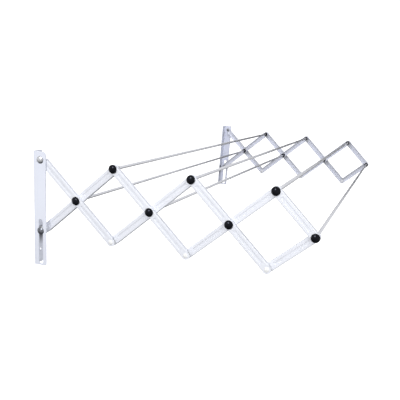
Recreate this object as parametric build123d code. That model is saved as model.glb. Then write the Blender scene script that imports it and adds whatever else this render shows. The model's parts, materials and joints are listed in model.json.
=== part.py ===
"""Wall mounted drying rack: two scissor sides on wall brackets, joined by hanging rods.

X runs along the rods, the wall is the plane y = 0, the rack pulls out towards -Y and +Z is up.
The origin is the middle of the four screw holes on the wall. Sizes are in millimetres.
"""

import os
from math import cos, radians, sin, sqrt

from build123d import *

# Rods
overall_width = 1220.0
rod_diameter = 6.0
rod_wall = 1.0

# Scissor arms, pressed as channels from sheet
pivot_spacing = 100.0
open_angle = 42.4
arm_width = 16.0
arm_sheet = 1.2
arm_depth = 8.0
arm_bend_radius = 0.8
flange_setback = 3.0
flange_end_run = 4.0
rib_setback = 14.0
rib_width = 5.6
rib_slope = 0.9
rib_depth = 0.9

# Wall brackets, folded from angle
bracket_sheet = 2.0
bracket_depth = 27.0
bracket_flange = 27.0
bracket_above_pivot = 15.0
bracket_below_slot = 3.2
bracket_bend_radius = 1.0
bracket_front_radius = 6.0
bracket_corner_radius = 3.0
pivot_from_wall = 15.4
screw_hole_diameter = 5.5
screw_hole_inset = 21.0
screw_hole_spacing = 166.0

# Pins and rivets
pin_diameter = 6.0
pin_head_diameter = 14.0
pin_head_rim = 0.6
pin_head_height = 3.4
pin_tail_diameter = 10.0
pin_tail_height = 1.6
rivet_diameter = 6.0
rivet_head_diameter = 9.0
rivet_head_rim = 0.5
rivet_head_height = 2.0
rivet_tail_diameter = 9.0
rivet_tail_height = 1.0

# Plastic caps, collars, spacers, washers and slot bushes
cap_diameter = 15.6
cap_rim = 1.6
cap_height = 5.0
cap_stem_length = 14.0
collar_diameter = 12.0
collar_length = 6.0
collar_chamfer = 0.8
spacer_diameter = 11.0
washer_diameter = 14.0
washer_thickness = 1.0
bush_diameter = 8.8
bush_collar_diameter = 15.0
bush_collar_thickness = 1.2

# Clearances
turning_clearance = 0.05
side_play = 0.1
layer_gap = 0.5
slot_clearance = 0.1
slot_end_clearance = 1.0
fold_clearance = 2.8

# Travel: pulled out to the flattest angle of the arms, folded until the first caps near the brackets
pulled_out_angle = 36.0
folded_step = bracket_depth - pivot_from_wall + cap_diameter / 2 + fold_clearance
pulled_out_drop = 2 * pivot_spacing * sin(radians(pulled_out_angle))
folded_drop = 2 * sqrt(pivot_spacing**2 - folded_step**2)

# Bracket slot and height, measured down from the top pivot
slot_width = bush_diameter + 2 * slot_clearance
slot_top = pulled_out_drop - slot_end_clearance - slot_width / 2
slot_bottom = folded_drop + slot_end_clearance + slot_width / 2
bracket_height = bracket_above_pivot + slot_bottom + bracket_below_slot
top_z = bracket_height / 2 - bracket_above_pivot

# Pitch and lean of the arms as shown, partly pulled out
step_out = pivot_spacing * cos(radians(open_angle))
step_down = pivot_spacing * sin(radians(open_angle))
downward = (0, -step_out, -step_down)
upward = (0, -step_out, step_down)

# Layers of one side, as depths inward from the bracket's outer face
outer_web = bracket_sheet + washer_thickness + side_play
outer_web_back = outer_web + arm_sheet
inner_web = outer_web + arm_depth + layer_gap
inner_web_back = inner_web + arm_sheet

# Holes that grip a pin, rod or rivet, and holes that turn on one
pin_turning = pin_diameter + 2 * turning_clearance
rod_turning = rod_diameter + 2 * turning_clearance
rivet_turning = rivet_diameter + 2 * turning_clearance


def top_pivot(number):
    """Side view place (y, z) of an upper pivot, counted out from the wall."""
    return (-pivot_from_wall - 2 * number * step_out, top_z)


def bottom_pivot(number):
    """Side view place of a lower pivot. Number 0 is the pin in the bracket's slot."""
    return (-pivot_from_wall - 2 * number * step_out, top_z - 2 * step_down)


def crossing(number):
    """Side view place where two arms cross. Number 3 is the outermost joint."""
    return (-pivot_from_wall - (2 * number + 1) * step_out, top_z - step_down)


def side_plane(pivot, along=(0, -1, 0)):
    """Outer plane of the left side at a pivot, with its normal inward along the rods."""
    return Plane(origin=(-overall_width / 2, pivot[0], pivot[1]), x_dir=along, z_dir=(1, 0, 0))


def both_sides(left):
    return left + mirror(left, about=Plane.YZ)


def turned(*corners):
    """Solid turned about a pivot axis, from (radius, depth) corners."""
    return revolve(make_face(Plane.XZ * Polyline(*corners, close=True)), Axis.Z)


def plug(diameter, start, end):
    return Pos(0, 0, (start + end) / 2) * Cylinder(diameter / 2, end - start)


def sleeve(diameter, bore, start, end):
    return plug(diameter, start, end) - plug(bore, start, end)


def dome(diameter, rim, height, seat):
    """Low domed head that sits at a depth and bulges outward."""
    radius = diameter / 2
    crown = seat - height
    rise = height - rim
    ball = (radius**2 + rise**2) / (2 * rise)
    halfway = crown + ball - sqrt(ball**2 - radius**2 / 4)
    outline = Line((0, crown), (0, seat))
    outline += Line((0, seat), (radius, seat))
    outline += Line((radius, seat), (radius, seat - rim))
    outline += ThreePointArc((radius, seat - rim), (radius / 2, halfway), (0, crown))
    return revolve(make_face(Plane.XZ * outline), Axis.Z)


def arm_section(start):
    """Cross-section plane of an arm at a distance from its first pivot."""
    return Plane(origin=(start, 0, 0), x_dir=(0, 1, 0), z_dir=(1, 0, 0))


def channel(start, end):
    """Plain channel along an arm, web outward, with its flanges sloped off at both ends."""
    edge = arm_width / 2
    inner_edge = edge - arm_sheet
    outline = Polyline(
        (-edge, arm_depth),
        (-edge, 0),
        (edge, 0),
        (edge, arm_depth),
        (inner_edge, arm_depth),
        (inner_edge, arm_sheet),
        (-inner_edge, arm_sheet),
        (-inner_edge, arm_depth),
        close=True,
    )
    profile = make_face(outline)
    inside = [profile.vertices().sort_by_distance((x, arm_sheet))[0] for x in (-inner_edge, inner_edge)]
    profile = fillet(inside, arm_bend_radius)
    outside = [profile.vertices().sort_by_distance((x, 0))[0] for x in (-edge, edge)]
    profile = fillet(outside, arm_bend_radius + arm_sheet)
    length = extrude(arm_section(start) * profile, end - start)
    for foot, run in ((start, flange_end_run), (end, -flange_end_run)):
        slope = Polyline((foot, arm_sheet), (foot, arm_depth), (foot + run, arm_depth), close=True)
        waste = extrude(make_face(Plane.XZ * slope), arm_width, both=True)
        length -= waste
    return length


def rib(start, end):
    """Pressed middle strip of a web, sunk on its outer side."""
    top = rib_width / 2
    floor = top - rib_slope
    outline = Polyline(
        (-top, 0),
        (-floor, rib_depth),
        (floor, rib_depth),
        (top, 0),
        (top, arm_sheet),
        (floor, rib_depth + arm_sheet),
        (-floor, rib_depth + arm_sheet),
        (-top, arm_sheet),
        close=True,
    )
    return extrude(arm_section(start) * make_face(outline), end - start)


def strip(start, end, width):
    """Waste that clears a web between two distances along an arm."""
    return Pos((start + end) / 2, 0, 0) * Box(end - start, width, 4 * arm_sheet)


def arm(hole_diameters):
    """Arm along +X from its first pivot, web outward, with one hole at each pivot."""
    spans = len(hole_diameters) - 1
    reach = spans * pivot_spacing
    body = extrude(Pos(reach / 2, 0) * SlotCenterToCenter(reach, arm_width), arm_sheet)
    body -= strip(flange_setback, reach - flange_setback, 2 * arm_width)
    body += channel(flange_setback, reach - flange_setback)
    for index in range(spans):
        start = index * pivot_spacing + rib_setback
        end = (index + 1) * pivot_spacing - rib_setback
        body -= strip(start, end, rib_width)
        body += rib(start, end)
    for index, diameter in enumerate(hole_diameters):
        body -= Pos(index * pivot_spacing, 0, 0) * Cylinder(diameter / 2, 4 * arm_sheet)
    return body


def bracket():
    """Left wall bracket: a slotted side plate folded to a wall flange."""
    corner = -overall_width / 2
    outline = Polyline(
        (corner, 0),
        (corner + bracket_flange, 0),
        (corner + bracket_flange, -bracket_sheet),
        (corner + bracket_sheet, -bracket_sheet),
        (corner + bracket_sheet, -bracket_depth),
        (corner, -bracket_depth),
        close=True,
    )
    section = make_face(outline)
    inside = section.vertices().sort_by_distance((corner + bracket_sheet, -bracket_sheet))[0]
    section = fillet(inside, bracket_bend_radius)
    outside = section.vertices().sort_by_distance((corner, 0))[0]
    section = fillet(outside, bracket_bend_radius + bracket_sheet)
    body = extrude(Pos(0, 0, -bracket_height / 2) * section, bracket_height)
    front_edges = body.edges().filter_by(Axis.X).group_by(Axis.Y)[0].sort_by(Axis.Z)
    body = fillet(front_edges[-1], bracket_front_radius)
    front_edges = body.edges().filter_by(Axis.X).group_by(Axis.Z)[0].sort_by(Axis.Y)
    body = fillet(front_edges[0], bracket_corner_radius)
    flange_corners = body.edges().filter_by(Axis.Y).group_by(Axis.X)[-1]
    body = fillet(flange_corners, bracket_corner_radius)
    slot_middle = (-pivot_from_wall, top_z - (slot_top + slot_bottom) / 2)
    slot = Rot(0, 0, 90) * SlotOverall(slot_bottom - slot_top, slot_width)
    body -= extrude(side_plane(slot_middle) * slot, 2 * bracket_sheet, both=True)
    body -= extrude(side_plane(top_pivot(0)) * Circle(pin_diameter / 2), 2 * bracket_sheet, both=True)
    for height in (-screw_hole_spacing / 2, screw_hole_spacing / 2):
        wall = Plane(origin=(corner + screw_hole_inset, 0, height), z_dir=(0, -1, 0))
        body -= extrude(wall * Circle(screw_hole_diameter / 2), 2 * bracket_sheet, both=True)
    return body


def rod(end_depth):
    """Tube from the left cap's seat to the right one's."""
    bore = rod_diameter - 2 * rod_wall
    return sleeve(rod_diameter, bore, end_depth, overall_width - end_depth)


def rod_cap(seat):
    """Domed cap with a stem that plugs the rod's end."""
    stem = plug(rod_diameter - 2 * rod_wall, seat, seat + cap_stem_length)
    return dome(cap_diameter, cap_rim, cap_height, seat) + stem


def rod_collar(seat):
    """Collar that grips the rod behind the inner arm."""
    grip = rod_diameter / 2
    radius = collar_diameter / 2
    end = seat + collar_length
    chamfered = (radius - collar_chamfer, end)
    return turned((grip, seat), (radius, seat), (radius, end - collar_chamfer), chamfered, (grip, end))


def top_pin():
    """Pin held in the bracket, on which the first outer arm turns."""
    tail = outer_web_back + side_play
    head = dome(pin_head_diameter, pin_head_rim, pin_head_height, 0)
    return head + plug(pin_diameter, 0, tail) + plug(pin_tail_diameter, tail, tail + pin_tail_height)


def slot_pin():
    """Pin held in the first inner arm, whose bush slides in the bracket's slot."""
    seat = -side_play
    tail = inner_web_back
    head = dome(pin_head_diameter, pin_head_rim, pin_head_height, seat)
    return head + plug(pin_diameter, seat, tail) + plug(pin_tail_diameter, tail, tail + pin_tail_height)


def slot_bush():
    """Bush round the slot pin, with a collar that runs on the bracket's inner face."""
    collar = bracket_sheet + side_play
    wide = sleeve(bush_collar_diameter, pin_diameter, collar, collar + bush_collar_thickness)
    return sleeve(bush_diameter, pin_diameter, -side_play, inner_web) + wide


def lower_rivet():
    """Rivet held in an outer arm's lower end, on which the next inner arm turns."""
    tail = inner_web_back + side_play
    head = dome(rivet_head_diameter, rivet_head_rim, rivet_head_height, outer_web)
    shank = plug(rivet_diameter, outer_web, tail)
    return head + shank + plug(rivet_tail_diameter, tail, tail + rivet_tail_height)


nodes = {}

# Brackets and the pivots on them
left_bracket = bracket()
nodes["bracket_left"] = left_bracket
nodes["bracket_right"] = mirror(left_bracket, about=Plane.YZ)
nodes["top_pins"] = both_sides(side_plane(top_pivot(0)) * top_pin())
top_washer = sleeve(washer_diameter, pin_diameter, bracket_sheet, bracket_sheet + washer_thickness)
nodes["top_washers"] = both_sides(side_plane(top_pivot(0)) * top_washer)
nodes["slot_pins"] = both_sides(side_plane(bottom_pivot(0)) * slot_pin())
nodes["slot_bushes"] = both_sides(side_plane(bottom_pivot(0)) * slot_bush())

# Outer arms run down and out, inner arms run up and out behind them
arms = {
    "outer_arm_1": (top_pivot(0), downward, outer_web, (pin_turning, rod_diameter, rivet_diameter)),
    "outer_arm_2": (top_pivot(1), downward, outer_web, (rod_turning, rod_diameter, rivet_diameter)),
    "outer_arm_3": (top_pivot(2), downward, outer_web, (rod_turning, rod_diameter, rivet_diameter)),
    "outer_end_arm": (top_pivot(3), downward, outer_web, (rod_turning, rod_diameter)),
    "inner_arm_1": (bottom_pivot(0), upward, inner_web, (pin_diameter, rod_turning, rod_diameter)),
    "inner_arm_2": (bottom_pivot(1), upward, inner_web, (rivet_turning, rod_turning, rod_diameter)),
    "inner_arm_3": (bottom_pivot(2), upward, inner_web, (rivet_turning, rod_turning, rod_diameter)),
    "inner_end_arm": (bottom_pivot(3), upward, inner_web, (rivet_turning, rod_turning)),
}
for name, (pivot, along, depth, hole_diameters) in arms.items():
    left_arm = side_plane(pivot, along) * (Pos(0, 0, depth) * arm(hole_diameters))
    nodes[name + "_left"] = left_arm
    nodes[name + "_right"] = mirror(left_arm, about=Plane.YZ)

# Rods, counted out from the wall: odd ones are held by outer arms, even ones by inner arms
for number in range(1, 8):
    held_outside = number % 2 == 1
    pivot = crossing(number // 2) if held_outside else top_pivot(number // 2)
    cap_seat = outer_web if held_outside else outer_web - side_play
    spacer_start = outer_web_back if held_outside else outer_web_back + side_play
    spacer_end = inner_web - side_play if held_outside else inner_web
    collar_seat = inner_web_back + side_play if held_outside else inner_web_back
    at_pivot = side_plane(pivot)
    nodes[f"rod_{number}"] = at_pivot * rod(cap_seat)
    nodes[f"rod_caps_{number}"] = both_sides(at_pivot * rod_cap(cap_seat))
    spacer = sleeve(spacer_diameter, rod_diameter, spacer_start, spacer_end)
    nodes[f"rod_spacers_{number}"] = both_sides(at_pivot * spacer)
    nodes[f"rod_collars_{number}"] = both_sides(at_pivot * rod_collar(collar_seat))

# Rivets of the lower pivots
for number in range(1, 4):
    at_pivot = side_plane(bottom_pivot(number))
    nodes[f"lower_rivets_{number}"] = both_sides(at_pivot * lower_rivet())
    spacer = sleeve(spacer_diameter, rivet_diameter, outer_web_back, inner_web - side_play)
    nodes[f"lower_spacers_{number}"] = both_sides(at_pivot * spacer)

os.makedirs("parts", exist_ok=True)
for name, solid in nodes.items():
    export_step(solid, f"parts/{name}.step")
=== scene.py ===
"""Looks of the extending wall drying rack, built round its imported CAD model.

Arms, brackets, washers, spacers and bushes keep their CAD meshes and get finishes. Rods, end caps, collars,
rivets and pins are turned in Geometry Nodes and stand for their CAD nodes. All lengths are in metres.
"""

import json
import logging
import math
from dataclasses import dataclass
from enum import Enum
from typing import ClassVar

import bmesh
import bpy
from mathutils import Matrix, Vector

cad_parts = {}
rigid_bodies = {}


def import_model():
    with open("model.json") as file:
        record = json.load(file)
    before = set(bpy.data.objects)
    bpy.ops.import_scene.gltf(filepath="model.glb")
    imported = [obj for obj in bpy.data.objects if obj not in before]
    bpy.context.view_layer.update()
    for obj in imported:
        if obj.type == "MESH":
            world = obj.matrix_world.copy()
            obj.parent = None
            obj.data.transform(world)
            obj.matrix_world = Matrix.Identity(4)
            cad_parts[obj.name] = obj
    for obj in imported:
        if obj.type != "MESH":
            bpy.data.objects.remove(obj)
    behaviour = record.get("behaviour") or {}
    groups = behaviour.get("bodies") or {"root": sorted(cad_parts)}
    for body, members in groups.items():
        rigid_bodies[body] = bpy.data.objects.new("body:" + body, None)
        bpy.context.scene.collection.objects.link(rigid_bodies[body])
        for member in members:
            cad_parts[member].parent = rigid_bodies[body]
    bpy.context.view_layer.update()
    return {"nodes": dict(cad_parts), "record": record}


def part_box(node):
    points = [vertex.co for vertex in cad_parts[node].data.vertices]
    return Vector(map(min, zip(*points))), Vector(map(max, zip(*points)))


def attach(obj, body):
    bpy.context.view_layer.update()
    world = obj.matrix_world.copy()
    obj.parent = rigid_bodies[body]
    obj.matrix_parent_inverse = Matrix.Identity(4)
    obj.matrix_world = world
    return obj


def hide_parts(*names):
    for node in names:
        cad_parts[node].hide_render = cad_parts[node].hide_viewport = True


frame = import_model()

LOG = logging.getLogger("drying_rack")

Colour = tuple[float, float, float, float]
Point = tuple[float, float, float]
Range = tuple[float, float]

WHITE: Colour = (1.0, 1.0, 1.0, 1.0)
BLACK: Colour = (0.0, 0.0, 0.0, 1.0)
LINE_CONTRAST: Range = (0.3, 0.7)


class Slot(Enum):
    """Material slots of the record, one named on each kind of turned piece."""

    ROD = "rod_metal"
    RIVET = "rivet_coat"
    CAP = "cap_plastic"
    PIN = "pin_steel"


class Lean(Enum):
    """Which way an arm leans in the side view, counted out from the wall."""

    DOWN = 1.0
    UP = -1.0


class Copies(Enum):
    """How many ends of the rack a turned piece stands at."""

    THROUGH = 1
    BOTH_ENDS = 2


def grey(tone: float) -> Colour:
    """Give a neutral colour."""
    return (tone, tone, tone, 1.0)


def left_span(node: str) -> Range:
    """Give the lowest and highest X of a CAD node's vertices on the left half of the rack."""
    reaches = [vertex.co.x for vertex in frame["nodes"][node].data.vertices if vertex.co.x < 0]
    return min(reaches), max(reaches)


def middle(node: str) -> Vector:
    """Give the middle of a CAD node's box."""
    low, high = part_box(node)
    return (low + high) / 2


@dataclass(frozen=True)
class Linkage:
    """Side view lattice of the pivots at rest.

    Every upper, lower and crossing pivot stands on a lattice of step_out by step_down, counted out from the
    top pin and down from it.
    """

    step_out: float
    step_down: float
    wall_offset: float
    top: float

    @classmethod
    def from_frame(cls) -> "Linkage":
        """Read the lattice from the top pins and the first rod of the frame.

        Returns:
            The lattice.
        """
        pin = middle("top_pins")
        rod = middle("rod_1")
        return cls(pin.y - rod.y, pin.z - rod.z, -pin.y, pin.z)

    @property
    def spacing(self) -> float:
        """Distance between neighbouring pivots of one arm."""
        return math.hypot(self.step_out, self.step_down)


class NodeBoard:
    """Adds and links the nodes of one node tree."""

    # Numbers of the sockets of a Mix node that blends colours.
    SHARE, FIRST, SECOND, BLENDED = 0, 6, 7, 2

    def __init__(self, tree: bpy.types.NodeTree) -> None:
        """Keep the tree that the nodes go into."""
        self.tree = tree

    def add(self, kind: str, inputs: dict | None = None, **settings: object) -> bpy.types.Node:
        """Add a node.

        Args:
            kind: Blender's name of the node type.
            inputs: Sockets to link or values to set, by the input's name or number.
            settings: Properties of the node.

        Returns:
            The new node.
        """
        node = self.tree.nodes.new(kind)
        for key, value in settings.items():
            setattr(node, key, value)
        for key, value in (inputs or {}).items():
            self.feed(node.inputs[key], value)
        return node

    def feed(self, socket: bpy.types.NodeSocket, value: object) -> None:
        """Link a socket to another, or set its value.

        Args:
            socket: Input to feed.
            value: Output to link it to, or its value.
        """
        if isinstance(value, bpy.types.NodeSocket):
            self.tree.links.new(value, socket)
        else:
            socket.default_value = value

    def math(self, operation: str, first: object, second: object = 0.0) -> bpy.types.NodeSocket:
        """Work out an operation on sockets or numbers."""
        return self.add("ShaderNodeMath", {0: first, 1: second}, operation=operation).outputs[0]

    def ease(
        self, value: object, low: float, high: float, start: object = 0.0, end: float = 1.0
    ) -> bpy.types.NodeSocket:
        """Ease a value from start, where it is low or less, to end, where it is high or more."""
        inputs = {"Value": value, "From Min": low, "From Max": high, "To Min": start, "To Max": end}
        return self.add("ShaderNodeMapRange", inputs, interpolation_type="SMOOTHSTEP").outputs[0]

    def between(self, share: bpy.types.NodeSocket, start: object, end: float) -> bpy.types.NodeSocket:
        """Ease from start at a share of 0 to end at a share of 1."""
        return self.ease(share, 0.0, 1.0, start, end)

    def blend(self, share: bpy.types.NodeSocket, first: object, second: object) -> bpy.types.NodeSocket:
        """Blend two colours, or their sockets, from all first at a share of 0 to all second at 1."""
        inputs = {self.SHARE: share, self.FIRST: first, self.SECOND: second}
        return self.add("ShaderNodeMix", inputs, data_type="RGBA").outputs[self.BLENDED]

    def place(self) -> bpy.types.NodeSocket:
        """Give the Object coordinates."""
        return self.add("ShaderNodeTexCoord").outputs["Object"]

    def axes(self, vector: bpy.types.NodeSocket) -> tuple[bpy.types.NodeSocket, ...]:
        """Split a vector into its three axes."""
        return tuple(self.add("ShaderNodeSeparateXYZ", {0: vector}).outputs)

    def noise(self, vector: bpy.types.NodeSocket, scale: object, detail: float = 2.0) -> bpy.types.NodeSocket:
        """Add a noise texture, with a scale in waves for each metre and a detail in octaves."""
        inputs = {"Vector": vector, "Scale": scale, "Detail": detail}
        return self.add("ShaderNodeTexNoise", inputs).outputs[0]


class Effects:
    """Shader node groups that several finishes share, each built once."""

    FINE_PEEL_RATIO = 3.7
    FINE_PEEL_SHARE = 0.25
    TONE_CONTRAST: Range = (0.32, 0.68)

    def __init__(self, linkage: Linkage) -> None:
        """Build the groups.

        Args:
            linkage: Lattice of the pivots, which the marks follow.
        """
        self.linkage = linkage
        self.surface_peel = self.build_peel()
        self.pivot_distance = self.build_pivot_distance()
        self.arm_across = self.build_arm_across()
        self.drawn_lines = self.build_drawn_lines()

    @staticmethod
    def new_group(
        name: str, inputs: dict[str, float], outputs: list[str]
    ) -> tuple[NodeBoard, bpy.types.Node, bpy.types.Node]:
        """Start a shader node group with float sockets.

        Args:
            name: Name of the group.
            inputs: Names of its inputs, with their values.
            outputs: Names of its outputs.

        Returns:
            The board of its tree, its input node and its output node.
        """
        tree = bpy.data.node_groups.new(name, "ShaderNodeTree")
        for label, value in inputs.items():
            socket = tree.interface.new_socket(label, in_out="INPUT", socket_type="NodeSocketFloat")
            socket.default_value = value
        for label in outputs:
            tree.interface.new_socket(label, in_out="OUTPUT", socket_type="NodeSocketFloat")
        board = NodeBoard(tree)
        return board, board.add("NodeGroupInput"), board.add("NodeGroupOutput")

    def build_peel(self) -> bpy.types.NodeTree:
        """Build the fine unevenness of a coat or a moulding, with slow changes of tone.

        Returns:
            The group.
        """
        inputs = {"Scale": 900.0, "Tone Scale": 14.0}
        board, given, result = self.new_group("surface_peel", inputs, ["Height", "Tone"])
        place = board.place()
        coarse = board.noise(place, given.outputs["Scale"], detail=1.0)
        fine = board.noise(place, board.math("MULTIPLY", given.outputs["Scale"], self.FINE_PEEL_RATIO))
        height = board.math("ADD", coarse, board.math("MULTIPLY", fine, self.FINE_PEEL_SHARE))
        slow = board.noise(place, given.outputs["Tone Scale"], detail=4.0)
        board.feed(result.inputs["Height"], height)
        board.feed(result.inputs["Tone"], board.ease(slow, *self.TONE_CONTRAST))
        return board.tree

    def lattice_steps(self, board: NodeBoard) -> tuple[bpy.types.NodeSocket, bpy.types.NodeSocket]:
        """Count the lattice steps out from the top pin and down from it.

        Args:
            board: Board of the group that counts.

        Returns:
            Sockets of the steps out and of the steps down.
        """
        _, across, height = board.axes(board.place())
        away = board.math("SUBTRACT", board.math("MULTIPLY", across, -1.0), self.linkage.wall_offset)
        drop = board.math("SUBTRACT", self.linkage.top, height)
        steps_out = board.math("DIVIDE", away, self.linkage.step_out)
        steps_down = board.math("DIVIDE", drop, self.linkage.step_down)
        return steps_out, steps_down

    def build_pivot_distance(self) -> bpy.types.NodeTree:
        """Build the distance, in the side view, to the nearest pivot of the lattice.

        Returns:
            The group.
        """
        board, _, result = self.new_group("pivot_distance", {}, ["Distance"])
        steps = self.lattice_steps(board)
        to_even = [board.math("PINGPONG", step, 1.0) for step in steps]
        to_odd = [board.math("SUBTRACT", 1.0, step) for step in to_even]
        lengths = []
        for out, down in (to_even, to_odd):
            out_square = board.math("POWER", board.math("MULTIPLY", out, self.linkage.step_out), 2.0)
            down_square = board.math("POWER", board.math("MULTIPLY", down, self.linkage.step_down), 2.0)
            lengths.append(board.math("SQRT", board.math("ADD", out_square, down_square)))
        board.feed(result.inputs["Distance"], board.math("MINIMUM", *lengths))
        return board.tree

    def build_arm_across(self) -> bpy.types.NodeTree:
        """Build the distance from an arm's middle line, for arms of either lean.

        Returns:
            The group.
        """
        board, given, result = self.new_group("arm_across", {"Lean": 1.0}, ["Across"])
        out, down = self.lattice_steps(board)
        line = board.math("SUBTRACT", out, board.math("MULTIPLY", down, given.outputs["Lean"]))
        width = self.linkage.step_out * self.linkage.step_down / self.linkage.spacing
        across = board.math("MULTIPLY", board.math("PINGPONG", line, 1.0), width)
        board.feed(result.inputs["Across"], across)
        return board.tree

    def build_drawn_lines(self) -> bpy.types.NodeTree:
        """Build the fine lines that drawing leaves along a bar.

        Returns:
            The group.
        """
        inputs = {"Along": 6.0, "Across": 2600.0}
        board, given, result = self.new_group("drawn_lines", inputs, ["Lines"])
        along, side, height = board.axes(board.place())
        stretched = {
            0: board.math("MULTIPLY", along, given.outputs["Along"]),
            1: board.math("MULTIPLY", side, given.outputs["Across"]),
            2: board.math("MULTIPLY", height, given.outputs["Across"]),
        }
        lines = board.noise(board.add("ShaderNodeCombineXYZ", stretched).outputs[0], 1.0, detail=3.0)
        board.feed(result.inputs["Lines"], board.ease(lines, *LINE_CONTRAST))
        return board.tree


class FinishBoard(NodeBoard):
    """Node board of one material, with its Principled shader."""

    def __init__(self, name: str, effects: Effects) -> None:
        """Start a material.

        Args:
            name: Name of the material.
            effects: Shared shader node groups.
        """
        self.material = bpy.data.materials.new(name)
        self.material.use_nodes = True
        super().__init__(self.material.node_tree)
        self.effects = effects
        self.shader = self.tree.nodes["Principled BSDF"]

    def effect(self, group: bpy.types.NodeTree, **values: float) -> bpy.types.NodeOutputs:
        """Place a shared effect.

        Args:
            group: The effect's node group.
            values: Values of its inputs, with spaces in their names written as underscores.

        Returns:
            The effect's outputs.
        """
        node = self.add("ShaderNodeGroup", node_tree=group)
        for label, value in values.items():
            node.inputs[label.replace("_", " ")].default_value = value
        return node.outputs

    def tone(self, scale: float) -> bpy.types.NodeSocket:
        """Give slow changes of tone, with a scale in waves for each metre."""
        return self.effect(self.effects.surface_peel, Tone_Scale=scale)["Tone"]

    def pivot_distance(self) -> bpy.types.NodeSocket:
        """Give the distance, in the side view, to the nearest pivot."""
        return self.effect(self.effects.pivot_distance)["Distance"]

    def bump(self, height: bpy.types.NodeSocket, strength: float, depth: float) -> None:
        """Feed a height to the shader's normal, with its share that shows and its depth."""
        inputs = {"Height": height, "Strength": strength, "Distance": depth}
        self.feed(self.shader.inputs["Normal"], self.add("ShaderNodeBump", inputs).outputs[0])

    def set(self, **values: object) -> None:
        """Link or set the shader's sockets, with spaces in their names written as underscores."""
        for label, value in values.items():
            self.feed(self.shader.inputs[label.replace("_", " ")], value)


@dataclass(frozen=True)
class Finish:
    """Finish of some pieces, which makes one material."""

    name: str

    def lay(self, board: FinishBoard) -> None:
        """Lay the finish on the board of its material."""
        raise NotImplementedError

    def material(self, effects: Effects) -> bpy.types.Material:
        """Make the finish's material.

        Args:
            effects: Shared shader node groups.

        Returns:
            The material.
        """
        board = FinishBoard(self.name, effects)
        self.lay(board)
        return board.material


@dataclass(frozen=True)
class PowderCoat(Finish):
    """White powder coat on pressed sheet, with marks where other pieces rub, and painted shade."""

    colour: Colour = (0.825, 0.845, 0.91, 1.0)
    thin_colour: Colour = (0.8, 0.82, 0.885, 1.0)
    tone_scale: float = 9.0
    roughness: Range = (0.36, 0.44)
    gloss_index: float = 1.5
    peel_scale: float = 850.0
    peel_strength: float = 0.08
    peel_depth: float = 0.00005
    mark_and_shade_colour: Colour = (0.5, 0.53, 0.58, 1.0)
    mark_and_shade_share: float = 0.14
    mark_scale: float = 110.0
    mark_contrast: Range = (0.2, 0.75)

    def marks(self, board: FinishBoard) -> bpy.types.NodeSocket:
        """Give the mask of the marks and painted shade on this coat."""
        raise NotImplementedError

    def lay(self, board: FinishBoard) -> None:
        """Lay the coat with its peel, its marks and its painted shade.

        Args:
            board: Board of the coat's material.
        """
        peel = board.effect(board.effects.surface_peel, Scale=self.peel_scale, Tone_Scale=self.tone_scale)
        base = board.blend(peel["Tone"], self.colour, self.thin_colour)
        rough = board.between(peel["Tone"], *self.roughness)
        board.set(Base_Color=self.marked(board, base), Roughness=rough, IOR=self.gloss_index)
        board.bump(peel["Height"], self.peel_strength, self.peel_depth)

    def marked(self, board: FinishBoard, base: bpy.types.NodeSocket) -> bpy.types.NodeSocket:
        """Lay the marks and painted shade over the coat, broken up a little.

        Args:
            board: Board of the coat's material.
            base: Colour of the clean coat.

        Returns:
            The marked colour's socket.
        """
        patches = board.noise(board.place(), self.mark_scale, detail=3.0)
        broken = board.math("MULTIPLY", self.marks(board), board.ease(patches, *self.mark_contrast))
        # One colour darkens both the rub marks and the painted shade.
        return board.blend(board.math("MULTIPLY", broken, self.mark_and_shade_share), base, self.mark_and_shade_colour)


@dataclass(frozen=True)
class ArmCoat(PowderCoat):
    """Coat of the arms: rubbed in rings round the pivots, with painted shade along the pressed groove, and
    thin on the bends, where the flanges get painted shade too.
    """

    lean: Lean = Lean.DOWN
    ring: Range = (0.0068, 0.0086)
    rib_half: float = 0.0026
    groove_shade_share: float = 0.7
    edge: float = 0.008
    bend_and_shade_share: float = 1.6
    soft: float = 0.0006

    def marks(self, board: FinishBoard) -> bpy.types.NodeSocket:
        """Give the mask of the rub rings, the painted shade along the groove, and the thin coat on the bends,
        which also lays painted shade on the flanges.

        Args:
            board: Board of the coat's material.

        Returns:
            The mask's socket.
        """
        distance = board.pivot_distance()
        across = board.effect(board.effects.arm_across, Lean=self.lean.value)["Across"]
        inner, outer = self.ring
        past_inner = board.ease(distance, inner - self.soft, inner)
        before_outer = board.ease(distance, outer, outer + self.soft, 1.0, 0.0)
        rings = board.math("MULTIPLY", past_inner, before_outer)
        clear = board.ease(distance, outer, 2 * outer)
        # Painted shade: the groove's middle is drawn darker, as the shade on its walls.
        groove_shade_band = board.ease(across, self.rib_half - 2 * self.soft, self.rib_half, self.groove_shade_share, 0.0)
        groove_shade = board.math("MULTIPLY", groove_shade_band, clear)
        # Thin coat on the bends, drawn strong enough to be painted shade on the flange faces too.
        bend_and_shade = board.ease(across, self.edge - 2 * self.soft, self.edge, 0.0, self.bend_and_shade_share)
        return board.math("MAXIMUM", board.math("MAXIMUM", rings, groove_shade), bend_and_shade)


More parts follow.
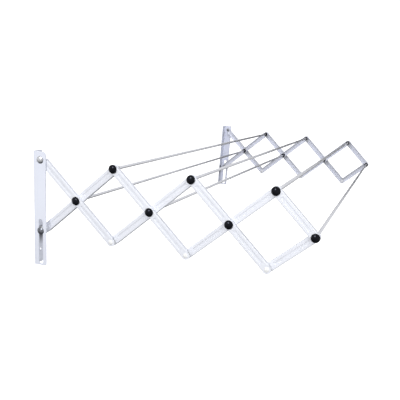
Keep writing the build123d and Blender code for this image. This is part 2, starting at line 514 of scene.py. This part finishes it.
@dataclass(frozen=True)
class BracketCoat(PowderCoat):
    """Coat of the brackets, rubbed along the slot where the bush runs, with a painted shadow on the flange
    behind, below the bush.
    """

    colour: Colour = (0.83, 0.86, 0.96, 1.0)
    thin_colour: Colour = (0.78, 0.81, 0.91, 1.0)
    wall_offset: float = 0.017
    slot_top: float = 0.0
    slot_bottom: float = -0.1
    rub: Range = (0.0045, 0.0078)
    flange_front: Range = (-0.006, -0.003)
    flange_back: Range = (-0.0016, -0.0008)
    free_half: Range = (0.596, 0.6)
    bush_height: float = -0.04
    shadow_start: float = 0.008
    shadow_run: float = 0.03
    painted_shadow_colour: Colour = (0.05, 0.055, 0.07, 1.0)

    def marks(self, board: FinishBoard) -> bpy.types.NodeSocket:
        """Give the mask of the rub along the slot.

        Args:
            board: Board of the coat's material.

        Returns:
            The mask's socket.
        """
        _, across, height = board.axes(board.place())
        aside = board.math("ADD", across, self.wall_offset)
        nearest = board.math("MINIMUM", board.math("MAXIMUM", height, self.slot_bottom), self.slot_top)
        beyond = board.math("SUBTRACT", height, nearest)
        square = board.math("ADD", board.math("POWER", aside, 2.0), board.math("POWER", beyond, 2.0))
        return board.ease(board.math("SQRT", square), *self.rub, 1.0, 0.0)

    def marked(self, board: FinishBoard, base: bpy.types.NodeSocket) -> bpy.types.NodeSocket:
        """Lay the rub marks over the coat, and a painted shadow on the wall flange's front below the bush.

        Args:
            board: Board of the coat's material.
            base: Colour of the clean coat.

        Returns:
            The marked colour's socket.
        """
        side, across, height = board.axes(board.place())
        # Painted shadow: the flange's front is drawn dark just below the bush, fading downward, as the bush's
        # cast shadow.
        below = board.math("SUBTRACT", self.bush_height, height)
        shadow_end = self.shadow_start + self.shadow_run
        painted_shadow = board.ease(below, self.shadow_start, shadow_end, 1.0, 0.0)
        for limit in (
            board.ease(below, -self.shadow_start, 0.0),
            board.ease(across, *self.flange_front),
            board.ease(across, *self.flange_back, 1.0, 0.0),
            board.ease(board.math("ABSOLUTE", side), *self.free_half, 1.0, 0.0),
        ):
            painted_shadow = board.math("MULTIPLY", painted_shadow, limit)
        return board.blend(painted_shadow, super().marked(board, base), self.painted_shadow_colour)


@dataclass(frozen=True)
class DrawnMetal(Finish):
    """Bright drawn steel with fine lines along the bar."""

    colour: Colour = (0.8, 0.81, 0.86, 1.0)
    line_colour: Colour = (0.7, 0.71, 0.76, 1.0)
    roughness: Range = (0.24, 0.4)
    lines_along: float = 7.0
    lines_across: float = 2600.0
    line_strength: float = 0.3
    line_depth: float = 0.00002
    tone_scale: float = 18.0

    def lay(self, board: FinishBoard) -> None:
        """Lay the metal with its drawn lines.

        Args:
            board: Board of the metal's material.
        """
        drawn = board.effect(board.effects.drawn_lines, Along=self.lines_along, Across=self.lines_across)
        lines = drawn["Lines"]
        tone = board.tone(self.tone_scale)
        base = board.blend(board.math("MULTIPLY", lines, tone), self.colour, self.line_colour)
        board.set(Base_Color=base, Metallic=1.0, Roughness=board.between(lines, *self.roughness))
        board.bump(lines, self.line_strength, self.line_depth)


@dataclass(frozen=True)
class HeadedMetal(Finish):
    """Plated steel of the pins, with faint turning lines round each pivot, a painted dark reflection round
    the rim, stronger below the pin's middle, and a dull tail.
    """

    colour: Colour = (0.72, 0.73, 0.76, 1.0)
    shade_colour: Colour = (0.58, 0.59, 0.62, 1.0)
    tone_scale: float = 160.0
    roughness: Range = (0.14, 0.26)
    line_scale: float = 3200.0
    line_strength: float = 0.18
    line_depth: float = 0.00002
    dark_reflection_and_dull_colour: Colour = (0.16, 0.17, 0.2, 1.0)
    dark_reflection_and_dull_share: float = 0.8
    rim: Range = (0.0042, 0.0064)
    upper_rim_share: float = 0.2
    height: float = 0.0
    sag: float = 0.004
    tail_reach: float = 0.0
    tail_ramp: float = 0.0005

    def lay(self, board: FinishBoard) -> None:
        """Lay the metal with its turning lines, its painted dark reflection round the rim and its dull tail.

        Args:
            board: Board of the metal's material.
        """
        distance = board.pivot_distance()
        tone = board.tone(self.tone_scale)
        ring = board.add("ShaderNodeCombineXYZ", {0: distance}).outputs[0]
        lines = board.ease(board.noise(ring, self.line_scale), *LINE_CONTRAST)
        along, _, height = board.axes(board.place())
        side = board.math("ABSOLUTE", along)
        tail = board.ease(side, self.tail_reach, self.tail_reach + self.tail_ramp, self.dark_reflection_and_dull_share, 0.0)
        # Painted reflection: the head's rim is drawn dark, as the dark floor mirrored in it, darker below the
        # pin's middle than above.
        rim = board.ease(distance, *self.rim, 0.0, self.dark_reflection_and_dull_share)
        low = board.ease(height, self.height - self.sag, self.height + self.sag, 1.0, self.upper_rim_share)
        dull = board.math("MAXIMUM", board.math("MULTIPLY", rim, low), tail)
        base = board.blend(dull, board.blend(tone, self.colour, self.shade_colour), self.dark_reflection_and_dull_colour)
        board.set(Base_Color=base, Metallic=1.0, Roughness=board.between(lines, *self.roughness))
        board.bump(lines, self.line_strength, self.line_depth)


@dataclass(frozen=True)
class RivetEnamel(Finish):
    """Gloss white enamel on the lower rivets, a little worn on the crown of each head."""

    colour: Colour = (0.93, 0.935, 0.94, 1.0)
    worn_colour: Colour = (0.84, 0.85, 0.86, 1.0)
    worn_radius: float = 0.0018
    tone_scale: float = 300.0
    roughness: Range = (0.14, 0.34)
    gloss_index: float = 1.52
    peel_scale: float = 1100.0
    peel_strength: float = 0.15
    peel_depth: float = 0.00004

    def lay(self, board: FinishBoard) -> None:
        """Lay the enamel with its peel and its worn crowns.

        Args:
            board: Board of the enamel's material.
        """
        distance = board.pivot_distance()
        peel = board.effect(board.effects.surface_peel, Scale=self.peel_scale, Tone_Scale=self.tone_scale)
        crown = board.ease(distance, self.worn_radius / 2, self.worn_radius, 1.0, 0.0)
        worn = board.math("MULTIPLY", crown, peel["Tone"])
        base = board.blend(worn, self.colour, self.worn_colour)
        rough = board.between(worn, *self.roughness)
        board.set(Base_Color=base, Roughness=rough, IOR=self.gloss_index)
        board.bump(peel["Height"], self.peel_strength, self.peel_depth)


@dataclass(frozen=True)
class MouldedPlastic(Finish):
    """Moulded plastic with a fine skin and a slight change of tone."""

    colour: Colour
    tone_colour: Colour
    roughness: Range
    shine: float = 0.5
    tint: Colour = WHITE
    tone_scale: float = 120.0
    gloss_index: float = 1.49
    skin_scale: float = 1500.0
    skin_strength: float = 0.15
    skin_depth: float = 0.00002

    def lay(self, board: FinishBoard) -> None:
        """Lay the plastic with its skin.

        Args:
            board: Board of the plastic's material.
        """
        peel = board.effect(board.effects.surface_peel, Scale=self.skin_scale, Tone_Scale=self.tone_scale)
        base = board.blend(peel["Tone"], self.colour, self.tone_colour)
        rough = board.between(peel["Tone"], *self.roughness)
        board.set(Base_Color=base, Roughness=rough, IOR=self.gloss_index)
        board.set(Specular_IOR_Level=self.shine, Specular_Tint=self.tint)
        board.bump(peel["Height"], self.skin_strength, self.skin_depth)


@dataclass(frozen=True)
class Corner:
    """Corner of a turned outline: run inward from the piece's outer end, radius, and rounding."""

    run: float
    radius: float
    rounding: float = 0.0

    @property
    def point(self) -> Vector:
        """Place of the corner, with the run as X and the radius as Y."""
        return Vector((self.run, self.radius, 0.0))


def rounded_outline(corners: list[Corner], closed: bool, steps: int = 5) -> list[Vector]:
    """Round the corners of a turned outline.

    Args:
        corners: Corners in order.
        closed: Whether the outline comes back to its first corner, as a ring's does.
        steps: Points on each rounding.

    Returns:
        Points with the run as X and the radius as Y.
    """
    count = len(corners)
    points = []
    for index, corner in enumerate(corners):
        here = corner.point
        at_end = not closed and index in (0, count - 1)
        if corner.rounding == 0.0 or at_end:
            points.append(here)
            continue
        back = (corners[index - 1].point - here).normalized()
        ahead = (corners[(index + 1) % count].point - here).normalized()
        half_angle = back.angle(ahead) / 2
        tangent = corner.rounding / math.tan(half_angle)
        centre = here + (back + ahead).normalized() * corner.rounding / math.sin(half_angle)
        start = (here + back * tangent - centre).normalized()
        end = (here + ahead * tangent - centre).normalized()
        turns = [start.slerp(end, step / (steps - 1)) for step in range(steps)]
        points += [centre + turn * corner.rounding for turn in turns]
    return points + points[:1] if closed else points


def dome_corners(radius: float, rise: float, edge: float, steps: int = 11) -> list[Corner]:
    """Give the corners of a shallow dome.

    Args:
        radius: Radius of its rim.
        rise: Run from its crown to its rim.
        edge: Rounding of its rim.
        steps: Corners on the way, the crown and the rim among them.

    Returns:
        The corners, from the crown out to the rim.
    """
    ball = (radius**2 + rise**2) / (2 * rise)
    spread = math.asin(radius / ball)
    turns = [spread * step / (steps - 1) for step in range(steps - 1)]
    crown = [Corner(ball - ball * math.cos(turn), ball * math.sin(turn)) for turn in turns]
    return crown + [Corner(rise, radius, edge)]


class Lathe:
    """Geometry Nodes tree that turns an outline about the rods' direction and sets it at the rack's ends."""

    SEAM = 0.000002

    def __init__(self) -> None:
        """Build the tree."""
        self.tree = bpy.data.node_groups.new("lathe_at_pivot", "GeometryNodeTree")
        sockets = {
            "Outline": "NodeSocketGeometry",
            "Pivot": "NodeSocketVector",
            "Copies": "NodeSocketInt",
            "Segments": "NodeSocketInt",
            "Finish": "NodeSocketMaterial",
        }
        self.keys = {}
        for label, kind in sockets.items():
            socket = self.tree.interface.new_socket(label, in_out="INPUT", socket_type=kind)
            self.keys[label] = socket.identifier
        self.tree.interface.new_socket("Geometry", in_out="OUTPUT", socket_type="NodeSocketGeometry")
        board = NodeBoard(self.tree)
        given = board.add("NodeGroupInput").outputs
        piece = self.turn(board, given)
        copies = self.stand(board, given, piece)
        realized = board.add("GeometryNodeRealizeInstances", {"Geometry": copies})
        finish = {"Geometry": realized.outputs[0], "Material": given["Finish"]}
        finished = board.add("GeometryNodeSetMaterial", finish)
        board.add("NodeGroupOutput", {"Geometry": finished.outputs[0]})

    def turn(self, board: NodeBoard, given: bpy.types.NodeOutputs) -> bpy.types.NodeSocket:
        """Turn the outline: a grid of outline points by segments is bent round the axis and closed.

        Args:
            board: Board of the tree.
            given: The tree's inputs.

        Returns:
            The turned mesh's socket.
        """
        size = board.add("GeometryNodeAttributeDomainSize", {"Geometry": given["Outline"]}, component="MESH")
        points = size.outputs["Point Count"]
        rings = {"Vertices X": board.math("ADD", given["Segments"], 1.0), "Vertices Y": points}
        grid = board.add("GeometryNodeMeshGrid", rings)
        position = board.add("GeometryNodeInputPosition").outputs[0]
        column, row, _ = board.axes(position)
        turn = board.math("MULTIPLY", board.math("ADD", column, 0.5), math.tau)
        last = board.math("SUBTRACT", points, 1.0)
        index = board.math("ROUND", board.math("MULTIPLY", board.math("ADD", row, 0.5), last))
        reading = {"Geometry": given["Outline"], "Value": position, "Index": index}
        sample = board.add("GeometryNodeSampleIndex", reading, data_type="FLOAT_VECTOR", domain="POINT")
        along, radius, _ = board.axes(sample.outputs[0])
        bent = {
            0: along,
            1: board.math("MULTIPLY", radius, board.math("COSINE", turn)),
            2: board.math("MULTIPLY", radius, board.math("SINE", turn)),
        }
        place = board.add("ShaderNodeCombineXYZ", bent).outputs[0]
        wound = board.add("GeometryNodeSetPosition", {"Geometry": grid.outputs[0], "Position": place})
        closing = {"Geometry": wound.outputs[0], "Distance": self.SEAM}
        return board.add("GeometryNodeMergeByDistance", closing).outputs[0]

    @staticmethod
    def stand(
        board: NodeBoard, given: bpy.types.NodeOutputs, piece: bpy.types.NodeSocket
    ) -> bpy.types.NodeSocket:
        """Stand the piece at its pivot, the second copy turned half round to the rack's other end.

        Args:
            board: Board of the tree.
            given: The tree's inputs.
            piece: The turned mesh.

        Returns:
            The instances' socket.
        """
        points = board.add("GeometryNodePoints", {"Count": given["Copies"], "Position": given["Pivot"]})
        half_turns = board.math("MULTIPLY", board.add("GeometryNodeInputIndex").outputs[0], math.pi)
        facing = board.add("ShaderNodeCombineXYZ", {2: half_turns}).outputs[0]
        inputs = {"Points": points.outputs[0], "Instance": piece, "Rotation": facing}
        return board.add("GeometryNodeInstanceOnPoints", inputs).outputs[0]


@dataclass
class TurnedPiece:
    """Piece of revolution that stands for a CAD node at one pivot."""

    node: str
    body: str
    finish: bpy.types.Material

    slot: ClassVar[Slot] = Slot.CAP
    copies: ClassVar[Copies] = Copies.BOTH_ENDS
    closed: ClassVar[bool] = False
    segments: ClassVar[int] = 48
    crease: ClassVar[float] = math.radians(38)

    def corners(self, length: float) -> list[Corner]:
        """Give the corners of the outline, in order, for a run of this length from outer to inner end."""
        raise NotImplementedError

    def build(self, lathe: Lathe) -> None:
        """Turn the piece, put it on its body and let it stand for its CAD node.

        Args:
            lathe: Geometry Nodes tree that turns it.
        """
        front, back = left_span(self.node)
        if self.copies is Copies.THROUGH:
            back = -front
        outline = rounded_outline(self.corners(back - front), self.closed)
        shift = Vector((front, 0.0, 0.0))
        edges = [(index, index + 1) for index in range(len(outline) - 1)]
        mesh = bpy.data.meshes.new(self.node + "_outline")
        mesh.from_pydata([point + shift for point in outline], edges, [])
        piece = bpy.data.objects.new(self.node + "_turned", mesh)
        bpy.context.scene.collection.objects.link(piece)
        self.evaluate(piece, lathe)
        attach(piece, self.body)
        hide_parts(self.node)
        LOG.info("%s rides on %s with %d faces", piece.name, self.body, len(piece.data.polygons))

    def evaluate(self, piece: bpy.types.Object, lathe: Lathe) -> None:
        """Run the lathe on an outline and keep the result as the piece's plain mesh.

        Args:
            piece: Object that holds the outline.
            lathe: Geometry Nodes tree that turns it.
        """
        pivot = middle(self.node)
        modifier = piece.modifiers.new("lathe", "NODES")
        modifier.node_group = lathe.tree
        modifier[lathe.keys["Pivot"]] = (0.0, pivot.y, pivot.z)
        modifier[lathe.keys["Copies"]] = self.copies.value
        modifier[lathe.keys["Segments"]] = self.segments
        modifier[lathe.keys["Finish"]] = self.finish
        bpy.context.view_layer.update()
        graph = bpy.context.evaluated_depsgraph_get()
        mesh = bpy.data.meshes.new_from_object(piece.evaluated_get(graph))
        outline = piece.data
        piece.modifiers.clear()
        piece.data = mesh
        mesh.name = piece.name
        bpy.data.meshes.remove(outline)
        shape = bmesh.new()
        shape.from_mesh(mesh)
        bmesh.ops.recalc_face_normals(shape, faces=shape.faces)
        shape.to_mesh(mesh)
        shape.free()
        mesh.shade_smooth()
        mesh.set_sharp_from_angle(angle=self.crease)


@dataclass
class RodTube(TurnedPiece):
    """Hanging rod: a thin tube from one end cap to the other."""

    outer_radius: float = 0.003
    wall: float = 0.001
    edge: float = 0.0002

    slot: ClassVar[Slot] = Slot.ROD
    copies: ClassVar[Copies] = Copies.THROUGH
    closed: ClassVar[bool] = True
    segments: ClassVar[int] = 40

    def corners(self, length: float) -> list[Corner]:
        """Give the tube's wall, with its ends broken.

        Args:
            length: Run from one end of the tube to the other.

        Returns:
            Corners in order.
        """
        bore = self.outer_radius - self.wall
        outer = [Corner(0.0, self.outer_radius, self.edge), Corner(length, self.outer_radius, self.edge)]
        return outer + [Corner(length, bore), Corner(0.0, bore)]


@dataclass
class RodCap(TurnedPiece):
    """Domed end cap with a rounded rim and a stem that plugs the rod."""

    radius: float = 0.0078
    rim: float = 0.0016
    height: float = 0.005
    stem_radius: float = 0.00198
    edge: float = 0.0004

    def corners(self, length: float) -> list[Corner]:
        """Give the dome, the rim with its rounded foot, and the stem.

        Args:
            length: Run from the crown to the stem's end.

        Returns:
            Corners in order.
        """
        dome = dome_corners(self.radius, self.height - self.rim, self.edge)
        foot = [Corner(self.height, self.radius, self.edge), Corner(self.height, self.stem_radius)]
        stem = [Corner(length, self.stem_radius, self.edge), Corner(length, 0.0)]
        return dome + foot + stem


@dataclass
class RodCollar(TurnedPiece):
    """Collar that grips the rod behind the inner arm."""

    radius: float = 0.006
    bore: float = 0.003
    edge: float = 0.0008
    small_edge: float = 0.0002

    closed: ClassVar[bool] = True

    def corners(self, length: float) -> list[Corner]:
        """Give the collar's section, rounded where it faces along the rod.

        Args:
            length: Run from the arm to the collar's free end.

        Returns:
            Corners in order.
        """
        outer = [Corner(0.0, self.radius, self.small_edge), Corner(length, self.radius, self.edge)]
        inner = [Corner(length, self.bore, self.small_edge), Corner(0.0, self.bore)]
        return outer + inner


@dataclass
class PivotPin(TurnedPiece):
    """Pin with a polished domed head and a peened tail."""

    head_radius: float = 0.007
    head_rim: float = 0.0006
    head_height: float = 0.0034
    head_edge: float = 0.0003
    shank_radius: float = 0.003
    tail_radius: float = 0.005
    tail_height: float = 0.0016
    tail_edge: float = 0.0009

    slot: ClassVar[Slot] = Slot.PIN

    def corners(self, length: float) -> list[Corner]:
        """Give the head, the shank and the tail.

        Args:
            length: Run from the crown to the tail's end.

        Returns:
            Corners in order.
        """
        tail = length - self.tail_height
        dome = dome_corners(self.head_radius, self.head_height - self.head_rim, self.head_edge)
        head = [Corner(self.head_height, self.head_radius), Corner(self.head_height, self.shank_radius)]
        peened = [
            Corner(tail, self.shank_radius),
            Corner(tail, self.tail_radius),
            Corner(length, self.tail_radius, self.tail_edge),
            Corner(length, 0.0),
        ]
        return dome + head + peened


@dataclass
class LowerRivet(PivotPin):
    """Enamelled rivet of a lower pivot, with a low domed head and a peened tail."""

    head_radius: float = 0.0045
    head_rim: float = 0.0005
    head_height: float = 0.002
    tail_radius: float = 0.0045
    tail_height: float = 0.001

    slot: ClassVar[Slot] = Slot.RIVET


@dataclass
class SideLinkage:
    """Scissor arms of both sides, with the washers, spacers and bushes between them."""

    effects: Effects
    outer_coat: ArmCoat = ArmCoat("outer_arm_coat", lean=Lean.DOWN)
    inner_coat: ArmCoat = ArmCoat("inner_arm_coat", lean=Lean.UP)
    plastic: MouldedPlastic = MouldedPlastic(
        "natural_plastic",
        colour=(0.7, 0.71, 0.7, 1.0),
        tone_colour=(0.62, 0.63, 0.62, 1.0),
        roughness=(0.42, 0.49),
    )

    plastic_rings: ClassVar[tuple[str, ...]] = ("top_washers", "slot_bushes", "rod_spacers", "lower_spacers")

    def dress(self) -> None:
        """Coat the arms and finish the small plastic rings."""
        coats = {
            "outer": self.outer_coat.material(self.effects),
            "inner": self.inner_coat.material(self.effects),
        }
        plastic = self.plastic.material(self.effects)
        for name, node in frame["nodes"].items():
            if "_arm_" in name:
                self.paint(node, coats[name.split("_")[0]])
            elif name.startswith(self.plastic_rings):
                self.paint(node, plastic)

    @staticmethod
    def paint(node: bpy.types.Object, material: bpy.types.Material) -> None:
        """Give a CAD node its finish."""
        node.material_slots[0].material = material
        LOG.info("%s keeps its mesh and takes %s", node.name, material.name)


@dataclass
class WallBrackets:
    """Two folded wall brackets with their top pins."""

    effects: Effects
    lathe: Lathe
    slot_below_pin: float = 0.1166
    slot_above_foot: float = 0.0077
    dull_tail: float = 0.0022

    def dress(self) -> None:
        """Coat the brackets, rubbed along their slots and with a painted shadow below each bush, and turn the
        top pins.
        """
        pin = middle("top_pins")
        low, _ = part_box("bracket_left")
        coat = BracketCoat(
            "bracket_coat_white",
            wall_offset=-pin.y,
            slot_top=pin.z - self.slot_below_pin,
            slot_bottom=low.z + self.slot_above_foot,
            bush_height=middle("slot_bushes").z,
        ).material(self.effects)
        for name in ("bracket_left", "bracket_right"):
            SideLinkage.paint(frame["nodes"][name], coat)
        _, tail = left_span("top_pins")
        steel = HeadedMetal("polished_pin", tail_reach=self.dull_tail - tail, height=pin.z)
        PivotPin("top_pins", "brackets", steel.material(self.effects)).build(self.lathe)


@dataclass
class RodRow:
    """Seven rods with their caps and collars, the lower rivets and the slot pins."""

    effects: Effects
    lathe: Lathe
    steel: DrawnMetal = DrawnMetal("drawn_steel")
    black: MouldedPlastic = MouldedPlastic(
        "black_plastic",
        colour=(0.001, 0.001, 0.0015, 1.0),
        tone_colour=(0.003, 0.003, 0.004, 1.0),
        roughness=(0.14, 0.21),
        shine=0.2,
        tint=(0.75, 0.8, 1.0, 1.0),
    )
    enamel: RivetEnamel = RivetEnamel("rivet_enamel")

    def finishes(self) -> dict[str, tuple[type[TurnedPiece], bpy.types.Material]]:
        """Make the finishes of the row.

        Returns:
            Kind and finish of each turned piece, by its node's name without its number.
        """
        # The slot pins' steel is drawn much darker than the top pins'.
        dark_slot_steel = HeadedMetal(
            "greased_pin",
            colour=(0.22, 0.23, 0.26, 1.0),
            shade_colour=(0.12, 0.125, 0.14, 1.0),
            roughness=(0.26, 0.38),
            height=middle("slot_pins").z,
        )
        black = self.black.material(self.effects)
        return {
            "rod_caps": (RodCap, black),
            "rod_collars": (RodCollar, black),
            "rod": (RodTube, self.steel.material(self.effects)),
            "lower_rivets": (LowerRivet, self.enamel.material(self.effects)),
            "slot_pins": (PivotPin, dark_slot_steel.material(self.effects)),
        }

    def dress(self) -> None:
        """Turn every piece onto the body that its CAD node rides on."""
        finishes = self.finishes()
        for body, nodes in frame["record"]["behaviour"]["bodies"].items():
            for node in nodes:
                stem = node.rstrip("_0123456789")
                if stem in finishes:
                    kind, finish = finishes[stem]
                    kind(node, body, finish).build(self.lathe)


@dataclass(frozen=True)
class SoftBox:
    """Square soft box of the studio.

    Where only holds the starts of pieces' names, the box lights and shines on those pieces alone. Otherwise
    it lights everything, and no polished surface mirrors it.
    """

    name: str
    place: Point
    aim: Point
    size: float
    power: float
    colour: Point = (1.0, 1.0, 1.0)
    only: tuple[str, ...] = ()

    def build(self) -> None:
        """Hang the box and aim it."""
        lamp = bpy.data.lights.new(self.name, "AREA")
        lamp.size = self.size
        lamp.energy = self.power
        lamp.color = self.colour
        light = bpy.data.objects.new(self.name, lamp)
        bpy.context.scene.collection.objects.link(light)
        light.location = self.place
        away = Vector(self.place) - Vector(self.aim)
        light.rotation_euler = away.to_track_quat("Z", "Y").to_euler()
        light.visible_camera = False
        light.visible_glossy = bool(self.only)
        if self.only:
            light.light_linking.receiver_collection = self.lit_pieces()
        LOG.info("soft box %s hung", self.name)

    def lit_pieces(self) -> bpy.types.Collection:
        """Collect the pieces that the box lights.

        Returns:
            Their collection, which stays outside the scene.
        """
        lit = bpy.data.collections.new(self.name + "_lit")
        for piece in bpy.data.objects:
            if piece.name.startswith(self.only):
                lit.objects.link(piece)
        return lit


NEAR_SIDE: Point = (-0.61, -0.3, 0.03)
GLINTING = ("rod_caps_", "top_pins", "slot_pins")
SOFT_BOXES = (
    SoftBox("key", (-1.95, 0.1, 0.9), NEAR_SIDE, size=0.6, power=13.6),
    SoftBox("front", (-1.4, -0.9, 0.8), NEAR_SIDE, size=0.7, power=3.6),
    SoftBox("side", (-1.8, -1.2, -0.1), (-0.6, -0.5, 0.0), size=0.8, power=6.6),
    SoftBox("far", (-0.2, -0.1, 0.9), (0.61, -0.3, 0.0), size=0.5, power=3.6, colour=(0.78, 0.79, 1.0)),
    SoftBox("slot", (-0.2, -1.1, 0.0), (-0.6, 0.0, -0.06), size=0.4, power=2.8, only=("bracket_left",)),
    SoftBox("glint", (-1.9, 0.0, 0.9), NEAR_SIDE, size=0.5, power=15.0, only=GLINTING),
)


@dataclass(frozen=True)
class PhotoCamera:
    """Camera at the photograph's viewing angle."""

    azimuth: float = math.radians(-72.246)
    elevation: float = math.radians(18.438)
    roll: float = math.radians(4.724)
    place: Point = (-1.5306, -0.637, 0.249)
    lens: float = 51.831
    frame_shift: float = 0.1919
    sensor: float = 36.0
    nearest: float = 0.02

    def build(self) -> None:
        """Stand the camera and make it the scene's."""
        level = math.cos(self.elevation)
        across, out = math.sin(self.azimuth) * level, -math.cos(self.azimuth) * level
        back = Vector((across, out, math.sin(self.elevation)))
        right = (-back).cross(Vector((0.0, 0.0, 1.0))).normalized()
        up = right.cross(-back)
        turned_right = right * math.cos(self.roll) + up * math.sin(self.roll)
        turned_up = up * math.cos(self.roll) - right * math.sin(self.roll)
        axes = Matrix((turned_right, turned_up, back)).transposed().to_4x4()
        data = bpy.data.cameras.new("photo_camera")
        data.lens = self.lens
        data.sensor_width = self.sensor
        data.shift_y = self.frame_shift
        data.clip_start = self.nearest
        camera = bpy.data.objects.new("photo_camera", data)
        bpy.context.scene.collection.objects.link(camera)
        camera.matrix_world = Matrix.Translation(self.place) @ axes
        bpy.context.scene.camera = camera


@dataclass
class Studio:
    """Plain pale floor, soft light and camera."""

    effects: Effects
    floor_drop: float = -0.75
    floor_half: float = 14.0
    floor_tones: Range = (0.93, 0.9)
    floor_roughness: float = 0.9
    floor_bounce: float = 0.16
    floor_near: float = 0.8
    floor_far: float = 3.0
    near_mirror: float = 0.04
    far_mirror: float = 0.62
    card_place: Point = (3.0, -0.3, 0.0)
    card_half: float = 0.9
    card_tone: float = 0.05
    tone_scale: float = 1.5
    fill_strength: float = 0.46
    mirror_strength: float = 0.9
    white: float = 1.1

    def build(self) -> None:
        """Build the studio round the rack."""
        bpy.context.scene.view_settings.view_transform = "Standard"
        self.build_floor()
        self.build_card()
        self.build_sky()
        for box in SOFT_BOXES:
            box.build()
        PhotoCamera().build()

    @staticmethod
    def lay_square(name: str, half: float, place: Matrix, finish: bpy.types.Material) -> bpy.types.Object:
        """Lay a flat square of the stage.

        Args:
            name: Name of the square.
            half: Half of its side.
            place: Its place and turn.
            finish: Its material.

        Returns:
            The square's object.
        """
        shape = bmesh.new()
        bmesh.ops.create_grid(shape, x_segments=1, y_segments=1, size=half, matrix=place)
        mesh = bpy.data.meshes.new(name)
        shape.to_mesh(mesh)
        shape.free()
        mesh.materials.append(finish)
        square = bpy.data.objects.new(name, mesh)
        bpy.context.scene.collection.objects.link(square)
        return square

    def build_floor(self) -> None:
        """Lay the pale floor well below the rack, dim to the light and paler far off in polished metal."""
        board = FinishBoard("pale_floor", self.effects)
        tone = board.tone(self.tone_scale)
        path = board.add("ShaderNodeLightPath").outputs
        direct = path["Is Camera Ray"]
        pale = board.blend(tone, *(grey(shade) for shade in self.floor_tones))
        away = board.add("ShaderNodeVectorMath", {0: board.place()}, operation="LENGTH").outputs["Value"]
        paling = board.ease(away, self.floor_near, self.floor_far, self.near_mirror, self.far_mirror)
        # The floor glows white to the camera, and in polished metal it glows as a painted reflection, dark
        # near the rack and pale far off; to other light it is dim.
        mirrored = board.math("MULTIPLY", path["Is Glossy Ray"], paling)
        glow = board.between(direct, mirrored, self.white)
        base = board.blend(direct, grey(self.floor_bounce), pale)
        board.set(Base_Color=base, Roughness=self.floor_roughness)
        board.set(Emission_Color=WHITE, Emission_Strength=glow)
        place = Matrix.Translation((0.0, 0.0, self.floor_drop))
        floor = self.lay_square("floor", self.floor_half, place, board.material)

    def build_card(self) -> None:
        """Stand a dark card past the far side, where only polished metal mirrors it."""
        board = FinishBoard("dark_card", self.effects)
        tone = board.tone(self.tone_scale)
        board.set(Base_Color=board.blend(tone, grey(self.card_tone), BLACK), Roughness=1.0)
        place = Matrix.Translation(self.card_place) @ Matrix.Rotation(math.pi / 2, 4, "Y")
        card = self.lay_square("dark_card", self.card_half, place, board.material)
        card.visible_camera = False
        card.visible_diffuse = False
        card.visible_shadow = False

    def build_sky(self) -> None:
        """Make the surroundings white to the camera, bright in polished metal and soft as a light."""
        world = bpy.data.worlds.new("studio")
        world.use_nodes = True
        board = NodeBoard(world.node_tree)
        world.node_tree.nodes.clear()
        path = board.add("ShaderNodeLightPath").outputs
        soft = board.between(path["Is Glossy Ray"], self.fill_strength, self.mirror_strength)
        strength = board.between(path["Is Camera Ray"], soft, self.white)
        sky = board.add("ShaderNodeBackground", {"Color": WHITE, "Strength": strength})
        board.add("ShaderNodeOutputWorld", {"Surface": sky.outputs[0]})
        bpy.context.scene.world = world


def main() -> None:
    """Dress the rack, build the studio and report each piece."""
    logging.basicConfig(level=logging.INFO, format="%(name)s: %(message)s")
    effects = Effects(Linkage.from_frame())
    lathe = Lathe()
    SideLinkage(effects).dress()
    WallBrackets(effects, lathe).dress()
    RodRow(effects, lathe).dress()
    Studio(effects).build()


if __name__ == "__main__":
    main()
